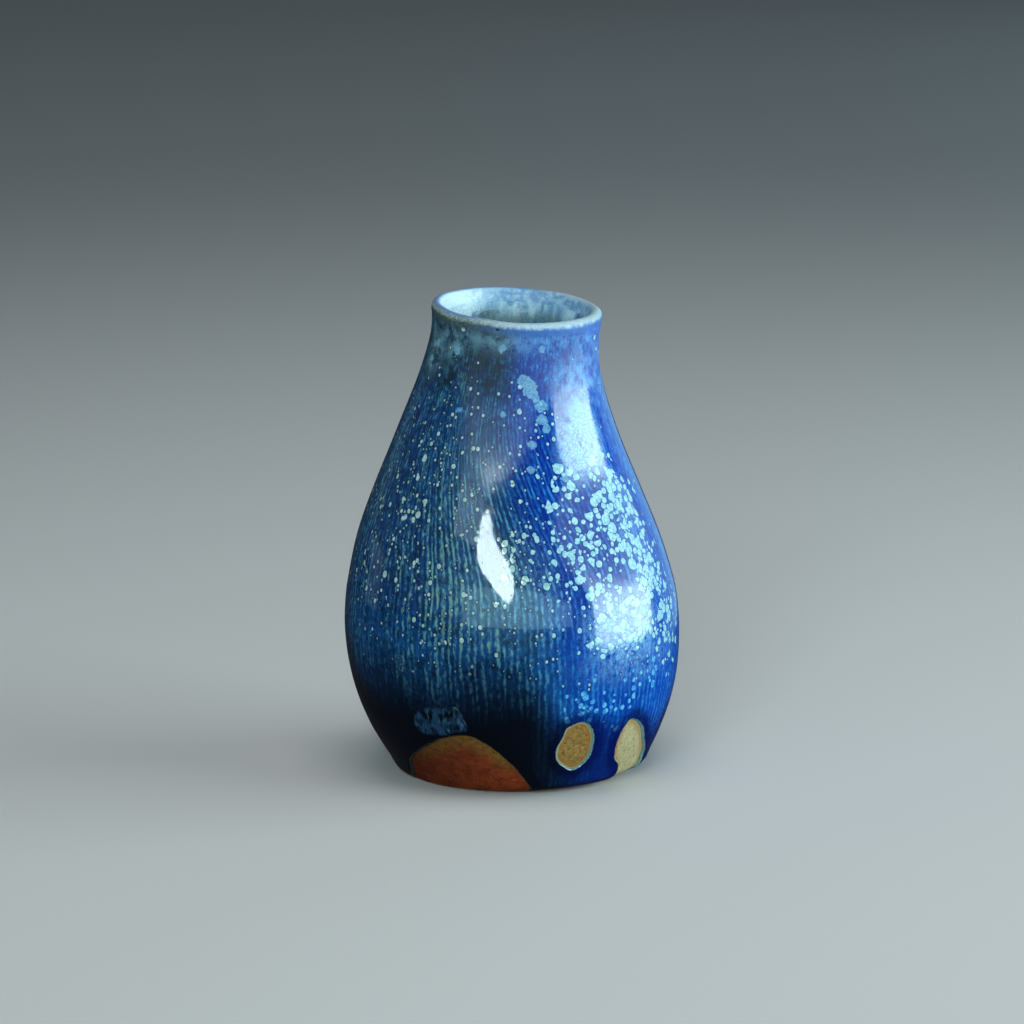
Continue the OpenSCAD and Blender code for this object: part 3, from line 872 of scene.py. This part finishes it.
    # crystals
    b1, b1h, b1m = crystals(t, p, 2.05, 1.36, big, 1, small=0.5)
    b2, b2h, b2m = crystals(t, p, 1.4, 0.92, big, 2, small=0.4)
    squat = t.vmath("MULTIPLY", p, (1.0, 1.0, 0.8))
    s1, s1h, s1m = crystals(t, squat, 1.7, t.ramp(small, 0.72, 1.0, 0.52, 0.82), t.mul(small, 0.8), 3)
    s2, s2h, s2m = crystals(t, squat, 1.1, 0.34, t.mul(small, 0.9), 4, small=0.5)
    s3, s3h, s3m = crystals(t, p, 3.1, 0.85, t.add(t.mul(small, 0.16), t.mul(haze, 0.4)), 6)
    s4, s4h, s4m = crystals(t, squat, 1.6, 0.70, t.ramp(small, 0.60, 0.95, 0.0, 0.62), 7)
    c1, c1h, c1m = crystals(t, p, 1.5, 0.80, chain, 5)
    bloom, bloom_edge = None, t.mul(t.sub(t.noise(p, 0.8, 4.0, 0.65), 0.5), 1.9)
    for az0, z0, r0 in BLOOMS:
        centre = warp(glaze_r(z0), z0, az0)
        d = t.sub(t.vmath("DISTANCE", p, tuple(map(float, centre))), r0)
        bloom = d if bloom is None else t.math("MINIMUM", bloom, d)
    bloom = t.ramp(t.add(bloom, bloom_edge), 0.14, -0.10)
    big_c = t.top(b1, b2)
    small_c = t.top(t.top(t.top(s1, s3), s4), t.mul(s2, 0.85))
    moat = t.top(t.mul(t.top(t.top(s1m, s3m), t.top(s2m, s4m)), 0.55), t.mul(t.top(b1m, b2m), 0.35))
    colour = t.mix(t.mul(moat, t.sub(1.0, t.mul(veil, 0.6))), colour, t.mix(royal, srgb(6, 26, 52), srgb(4, 16, 92)))
    tone = t.ramp(t.noise(p, 1.5, 2.0), 0.35, 0.68)
    crystal = t.mix(tone, t.mix(royal, srgb(172, 194, 194), srgb(154, 196, 204)), t.mix(royal, srgb(140, 168, 156), srgb(118, 166, 174)))
    colour = t.mix(t.mul(c1, 0.8), colour, t.mix(tone, srgb(52, 132, 196), srgb(108, 184, 206)))
    colour = t.mix(t.mul(small_c, t.ramp(dark, 0.2, 1.0, 0.92, 0.2)), colour, crystal)
    colour = t.mix(t.mul(big_c, 0.92), colour, crystal)
    colour = t.mix(t.mul(bloom, t.ramp(grain, 0.3, 0.6, 0.35, 0.75)), colour, t.mix(tone, srgb(96, 150, 186), srgb(124, 168, 180)))

    # dark foot, partly painted shade on the left away from the light, and deep blue round the bare marks, where the
    # glaze pooled
    colour = t.mix(t.math("POWER", dark, t.ramp(s, 0.0, 1.0, 0.7, 1.3)), colour, t.mix(royal, srgb(4, 8, 18), srgb(3, 20, 80)))
    deep = t.mix(royal, srgb(4, 7, 14), srgb(2, 14, 70))
    halo = t.mul(t.ramp(t.add(edge, t.mul(t.sub(t.noise(p, 0.5, 2.0), 0.5), 1.5)), 3.8, 1.2), 0.9)
    colour = t.mix(t.mul(halo, t.ramp(chain, 0.0, 1.0, 1.0, 0.75)), colour, deep)
    # thin pale border of glaze at the very edge
    torn = t.add(edge, t.mul(t.sub(t.noise(p, 1.6, 2.0), 0.5), 0.4))
    colour = t.mix(t.mul(t.ramp(torn, 0.42, 0.14), t.ramp(ovals, 0.0, 1.0, 0.06, 0.66)), colour,
                   t.mix(t.ramp(grain, 0.35, 0.65), srgb(98, 148, 158), srgb(164, 184, 150)))

    if lip:
        crest, pit, hz = t.xyz(t.attr("lip")["Vector"])
        worn = t.noise(p, 0.8, 3.0, 0.6)
        # the lip is painted paler on its right, where the light falls, and greyer on its left: partly the glaze's own
        # tone, partly painted light
        right_side_tone_and_light = t.ramp(t.add(t.mul(fy, 0.7), t.mul(t.sub(worn, 0.5), 0.9)), -0.35, 0.35)
        below = t.ramp(crest, -0.38, -0.12)
        shade = t.mix(right_side_tone_and_light, t.mix(t.ramp(grain, 0.35, 0.65), srgb(34, 62, 80), srgb(86, 98, 86)), srgb(46, 94, 158))
        colour = t.mix(t.mul(below, 0.85), colour, shade)
        k = t.ramp(t.add(crest, t.mul(t.sub(worn, 0.5), 0.35)), -0.04, 0.20)
        pale_lip = t.mix(right_side_tone_and_light, t.mix(t.ramp(grain, 0.4, 0.6), srgb(104, 122, 124), srgb(132, 140, 124)), srgb(148, 168, 176))
        pale_lip = t.mix(t.ramp(grain, 0.5, 0.70, 0.0, 0.65), pale_lip, srgb(190, 208, 212))
        pale_lip = t.mix(t.ramp(t.noise(p, 0.5, 3.0, 0.6), 0.58, 0.72, 0.0, 0.45), pale_lip, srgb(126, 118, 92))
        inner_tone = t.mix(t.ramp(worn, 0.35, 0.65), srgb(88, 132, 172), srgb(140, 170, 190))
        # painted light and reflection: a near-white patch on the left inner side of the lip, lit from the right
        painted_inner_light = t.ramp(t.add(fy, t.mul(t.sub(worn, 0.5), 0.8)), -0.46, -0.80)
        inner_tone = t.mix(t.mul(painted_inner_light, 0.85), inner_tone, t.mix(t.ramp(grain, 0.35, 0.65), srgb(176, 206, 220), srgb(214, 228, 230)))
        inward = t.add(crest, t.mul(t.sub(1.0, right_side_tone_and_light), 0.20))
        blue_line = t.mul(t.sub(1.0, right_side_tone_and_light), t.mul(t.ramp(inward, 0.42, 0.56), t.ramp(inward, 0.86, 0.70)))
        pale_lip = t.mix(t.ramp(inward, 0.5, 0.85), pale_lip, inner_tone)
        pale_lip = t.mix(t.mul(blue_line, 0.7), pale_lip, srgb(72, 116, 170))
        colour = t.mix(k, colour, pale_lip)
        # painted shade: the burst bubble's hollow is painted near-black brown, partly bare clay at its bottom
        colour = t.mix(t.ramp(pit, 0.3, 0.7), colour, srgb(22, 16, 12))

    rough = t.ramp(t.noise(p, 0.6, 2.0), 0.3, 0.7, 0.03, 0.07)
    rough = t.add(rough, t.mul(satin, t.ramp(grain, 0.3, 0.7, 0.58, 0.76)))
    rough = t.add(rough, t.mul(neck, t.ramp(mottle, 0.0, 1.0, 0.40, 0.56)))
    rough = t.math("MINIMUM", t.add(rough, t.mul(t.top(big_c, t.mul(small_c, 0.7)), 0.05)), 0.82)
    # the crystals stand up a little, the streaks are shallow runs
    height = t.add(t.mul(t.top(b1h, b2h), 0.6), t.mul(t.top(t.top(s1h, s3h), s2h), 0.4))
    n = t.bump(height, 0.04)
    n = t.bump(t.noise(streak_space(0.25), 0.8, 2.0), 0.006, n)
    n = t.bump(t.noise(p, 0.10, 1.0), 0.05, n)
    n = t.bump(t.mul(t.top(t.top(satin, neck), t.mul(veil, 0.35)), grain), 0.05, n)
    t.put(t.p.inputs["Base Color"], colour)
    t.put(t.p.inputs["Roughness"], rough)
    t.put(t.p.inputs["Normal"], n)
    t.p.inputs["IOR"].default_value = 1.55
    return t.mat


def clay_material():
    t = Tree("bare_stoneware")
    p = t.place()
    az, z, under = t.xyz(t.attr("pot")["Vector"])
    depth = t.attr("depth")["Fac"]
    grain = t.noise(p, 1.4, 5.0, 0.65)
    coarse = t.noise(p, 0.35, 3.0, 0.6)
    red = t.mix(t.ramp(coarse, 0.3, 0.7), srgb(100, 34, 8), srgb(132, 52, 14))
    tan = t.mix(t.ramp(grain, 0.3, 0.7), srgb(112, 78, 30), srgb(152, 120, 62))
    cream = t.mix(t.ramp(grain, 0.3, 0.7), srgb(150, 134, 90), srgb(180, 168, 128))
    # the thumb mark is red at the foot and turns olive tan at its upper edge
    up = t.ramp(t.add(depth, t.mul(t.sub(coarse, 0.5), 3.0)), 4.6, 0.6)
    up = t.mul(up, t.ramp(z, 4.5, 9.5))
    thumb = t.mix(up, red, t.mix(t.ramp(grain, 0.3, 0.7), srgb(92, 58, 18), srgb(126, 92, 34)))
    finger = t.mix(t.ramp(az, 36.0, 46.0), tan, cream)
    finger = t.mix(t.ramp(t.add(depth, t.mul(t.sub(coarse, 0.5), 1.6)), 1.6, 0.2, 0.0, 0.55), finger, srgb(160, 96, 34))
    c = t.mix(t.ramp(az, 9.0, 12.0), thumb, finger)
    c = t.mix(t.ramp(az, 90.0, 100.0), c, red)
    c = t.mix(t.math("GREATER_THAN", under, 0.5), c, t.mix(t.ramp(coarse, 0.3, 0.7), srgb(150, 76, 40), srgb(182, 104, 58)))
    # iron specks, and small open pores painted darker as shade in the holes
    k = t.cells(p, 1.1)
    iron = t.mul(t.ramp(k["Distance"], 0.26, 0.16), t.math("GREATER_THAN", t.xyz(k["Color"])[0], 0.6))
    c = t.mix(t.mul(iron, 0.75), c, srgb(58, 26, 16))
    k2 = t.cells(p, 2.6)
    pore = t.mul(t.ramp(k2["Distance"], 0.30, 0.12), t.math("GREATER_THAN", t.xyz(k2["Color"])[1], 0.6))
    c = t.mix(t.mul(pore, 0.55), c, srgb(70, 34, 18))
    c = t.mix(t.ramp(grain, 0.62, 0.80, 0.0, 0.45), c, srgb(210, 176, 122))
    # a thin glassy line where the glaze soaked in
    c = t.mix(t.ramp(depth, 0.30, 0.05, 0.0, 0.5), c, srgb(92, 66, 30))
    film = t.ramp(t.add(depth, t.mul(t.sub(grain, 0.5), 0.3)), 0.36, 0.12)
    film = t.mul(film, t.ramp(depth, -2.0, -0.5))
    c = t.mix(t.mul(t.mul(film, t.ramp(az, 9.0, 12.0)), 0.8), c, srgb(150, 166, 128))
    # turned rings, and the arcs the wire left, on the underside
    px, py, pz = t.xyz(p)
    turned = t.math("SINE", t.add(t.mul(t.vmath("LENGTH", t.vec(px, py, 0.0)), 4.2), t.mul(coarse, 3.0)))
    wire = t.math("SINE", t.add(t.mul(t.vmath("DISTANCE", t.vec(px, py, 0.0), (0.0, -46.0, 0.0)), 2.6), t.mul(grain, 2.0)))
    marks = t.mul(t.math("GREATER_THAN", under, 0.5), t.add(t.mul(turned, 0.5), t.mul(wire, 0.5)))
    c = t.mix(t.ramp(marks, 0.3, 1.0, 0.0, 0.25), c, srgb(104, 52, 26))
    # painted shade: the bare clay darkened a little all round as tone, and more towards the left, away from the light
    c = t.mix(t.mul(t.ramp(az, 2.0, -45.0, 0.12, 0.62), t.math("LESS_THAN", under, 0.5)), c, srgb(58, 16, 3))
    t.put(t.p.inputs["Base Color"], c)
    t.put(t.p.inputs["Roughness"], t.ramp(grain, 0.2, 0.8, 0.48, 0.80))
    n = t.bump(grain, 0.06)
    n = t.bump(t.mul(pore, -1.0), 0.08, n)
    n = t.bump(marks, 0.05, n)
    n = t.bump(t.mul(iron, -1.0), 0.05, n)
    t.put(t.p.inputs["Normal"], n)
    t.p.inputs["IOR"].default_value = 1.45
    t.p.inputs["Specular IOR Level"].default_value = 0.25
    return t.mat


def lining_material():
    t = Tree("celadon_lining")
    p = t.place()
    fx, fy, fz = t.xyz(t.attr("flow")["Vector"])
    v = t.vec(t.mul(fx, 15.0), t.mul(fy, 15.0), t.mul(fz, 0.35))
    run = t.noise(v, 0.22, 4.0, 0.6, 0.3)
    thin = t.noise(v, 0.8, 3.0, 0.6)
    blot = t.noise(p, 0.22, 4.0, 0.62, 0.4)
    grain = t.noise(p, 1.6, 3.0, 0.7)
    c = t.mix(t.ramp(run, 0.36, 0.60), srgb(84, 136, 178), srgb(158, 190, 202))
    c = t.mix(t.mul(t.ramp(blot, 0.50, 0.64), 0.75), c, srgb(44, 92, 146))
    c = t.mix(t.mul(t.ramp(thin, 0.54, 0.68), t.mul(t.ramp(blot, 0.52, 0.42), 0.7)), c, srgb(138, 134, 96))
    c = t.mix(t.ramp(grain, 0.55, 0.75, 0.0, 0.5), c, srgb(178, 202, 204))
    c = t.mix(t.mul(t.ramp(t.add(fz, t.mul(t.sub(run, 0.5), 7.0)), 96.0, 92.5), 0.7), c, t.mix(t.ramp(blot, 0.4, 0.6), srgb(58, 92, 100), srgb(84, 92, 66)))
    # painted light and reflection: a near-white patch on one side, the left, just inside the lip, where the light from
    # the right falls
    painted_inner_light = t.ramp(t.add(fy, t.mul(t.sub(blot, 0.5), 0.7)), -0.50, -0.76)
    painted_inner_light = t.mul(painted_inner_light, t.ramp(t.add(fz, t.mul(t.sub(run, 0.5), 5.0)), 90.0, 93.5))
    c = t.mix(t.mul(painted_inner_light, 0.8), c, t.mix(t.ramp(grain, 0.35, 0.65), srgb(176, 206, 220), srgb(214, 228, 230)))
    # painted shade: darker further down inside the neck
    c = t.mix(t.ramp(fz, 88.0, 50.0, 0.0, 0.5), c, srgb(40, 70, 92))
    t.put(t.p.inputs["Base Color"], c)
    t.put(t.p.inputs["Roughness"], t.ramp(grain, 0.3, 0.7, 0.16, 0.30))
    n = t.bump(t.noise(p, 0.30, 3.0), 0.16)
    t.put(t.p.inputs["Normal"], t.bump(grain, 0.03, n))
    t.p.inputs["IOR"].default_value = 1.55
    return t.mat


def dab_material():
    t = Tree("second_glaze")
    p = t.place()
    fx, fy, fz = t.xyz(t.attr("flow")["Vector"])
    depth = t.attr("depth")["Fac"]
    v = t.vec(t.mul(fx, 30.0), t.mul(fy, 30.0), t.mul(fz, 0.4))
    run = t.noise(v, 0.9, 3.0, 0.6, 0.3)
    c = t.mix(t.ramp(run, 0.38, 0.62), srgb(3, 9, 18), srgb(22, 54, 80))
    c = t.mix(t.ramp(t.noise(v, 2.0, 2.0), 0.55, 0.75, 0.0, 0.5), c, srgb(70, 110, 132))
    c = t.mix(t.ramp(depth, 0.9, 0.1, 0.0, 0.6), c, srgb(10, 20, 34))
    t.put(t.p.inputs["Base Color"], c)
    t.put(t.p.inputs["Roughness"], t.ramp(run, 0.3, 0.7, 0.10, 0.24))
    t.put(t.p.inputs["Normal"], t.bump(run, 0.03))
    t.p.inputs["IOR"].default_value = 1.55
    return t.mat


coat.data.materials.append(blue_glaze("streaked_blue_glaze"))
bead.data.materials.append(blue_glaze("lip_glaze", lip=True))
clay.data.materials.append(clay_material())
lining_ob.data.materials.append(lining_material())
dab.data.materials.append(dab_material())

for ob, node, slot in ((clay, "clay_body", "clay"), (coat, "outer_glaze", "blue_glaze"),
                       (lining_ob, "lining_glaze", "lining"), (bead, "lip_glaze", "lip"), (dab, "glaze_dab", "dab")):
    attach(ob, "root")
    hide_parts(node)

# ---------------------------------------------------------------- stage, light and camera
bpy.ops.mesh.primitive_circle_add(vertices=128, radius=3.0, fill_type="NGON", location=(0, 0, 0))
floor = bpy.context.object
floor.name = "floor"
ft = Tree("pale_floor")
tc = ft.nt.nodes.new("ShaderNodeTexCoord")
dist = ft.vmath("LENGTH", tc.outputs["Object"])
# painted light: the floor is paler under the vase and darker further out, a painted pool of light
ft.put(ft.p.inputs["Base Color"], ft.mix(ft.ramp(dist, 0.10, 0.9), (0.53, 0.49, 0.465), (0.245, 0.233, 0.228)))
ft.p.inputs["Roughness"].default_value = 0.7
ft.p.inputs["Specular IOR Level"].default_value = 0.2
floor.data.materials.append(ft.mat)
floor.visible_glossy = False

world = bpy.data.worlds.new("studio")
bpy.context.scene.world = world
world.use_nodes = True
wn = world.node_tree
wn.nodes.clear()
wo = wn.nodes.new("ShaderNodeOutputWorld")
bg = wn.nodes.new("ShaderNodeBackground")
wt = wn.nodes.new("ShaderNodeTexCoord")
ws = wn.nodes.new("ShaderNodeSeparateXYZ")
wr = wn.nodes.new("ShaderNodeMapRange")
wm = wn.nodes.new("ShaderNodeMix")
wm.data_type = "RGBA"
wn.links.new(wt.outputs["Generated"], ws.inputs[0])
wn.links.new(ws.outputs["Z"], wr.inputs["Value"])
wr.inputs["From Min"].default_value = -0.02
wr.inputs["From Max"].default_value = 0.06
wn.links.new(wr.outputs["Result"], wm.inputs[0])
wm.inputs[6].default_value = (0.02, 0.02, 0.022, 1)
wm.inputs[7].default_value = (0.075, 0.105, 0.13, 1)
wn.links.new(wm.outputs[2], bg.inputs["Color"])
wn.links.new(bg.outputs[0], wo.inputs[0])


def area(name, az, el, distance_m, width, height, power, roll=0.0, colour=(1, 1, 1), target=(0, 0, 0.05),
         shape="RECTANGLE"):
    a, e = math.radians(az), math.radians(el)
    d = Vector((math.sin(a) * math.cos(e), -math.cos(a) * math.cos(e), math.sin(e)))
    light = bpy.data.lights.new(name, "AREA")
    light.shape = shape
    light.size, light.size_y = width, height
    light.energy = power
    light.color = colour
    ob = bpy.data.objects.new(name, light)
    bpy.context.scene.collection.objects.link(ob)
    ob.location = Vector(target) + d * distance_m
    q = (-d).to_track_quat("-Z", "Y")
    ob.rotation_euler = q.to_euler()
    ob.rotation_euler.rotate_axis("Z", math.radians(roll))
    ob.visible_camera = False
    return ob


area("window_right", 84, 9, 0.9, 0.88, 0.60, 15, colour=(0.70, 0.935, 1.0))
area("window_small", -10, 21.4, 1.5, 0.78, 0.34, 13.0, roll=-27, colour=(0.77, 0.955, 1.0), shape="ELLIPSE")
area("overhead", 0, 80, 1.4, 0.9, 0.9, 8, colour=(0.94, 0.98, 1.0))
area("panel_left", -34, 29, 1.5, 0.55, 0.14, 0.5, colour=(0.62, 0.90, 1.0))
area("panel_front", 4, 8.5, 1.5, 2.3, 0.36, 5.2, colour=(0.42, 0.88, 1.0))
area("panel_side", -112, 0, 1.3, 0.40, 0.25, 0.09, colour=(0.60, 0.88, 1.0))
area("rim_right", 146, 6, 1.3, 0.9, 0.9, 2.0, colour=(0.44, 0.86, 1.0))

scene = bpy.context.scene
scene.view_settings.view_transform = "Standard"
cam = bpy.data.cameras.new("camera")
cam.sensor_width = 36.0
cam.lens = 5247.0 / 1024.0 * 36.0
cam_ob = bpy.data.objects.new("camera", cam)
scene.collection.objects.link(cam_ob)
eye = Vector((0.0, -1.1 * math.cos(math.radians(12.5)), 0.0545 + 1.1 * math.sin(math.radians(12.5))))
cam_ob.location = eye
cam_ob.rotation_euler = (Vector((0, 0, 0.0545)) - eye).to_track_quat("-Z", "Y").to_euler()
cam.clip_start, cam.clip_end = 0.05, 20
scene.camera = cam_ob
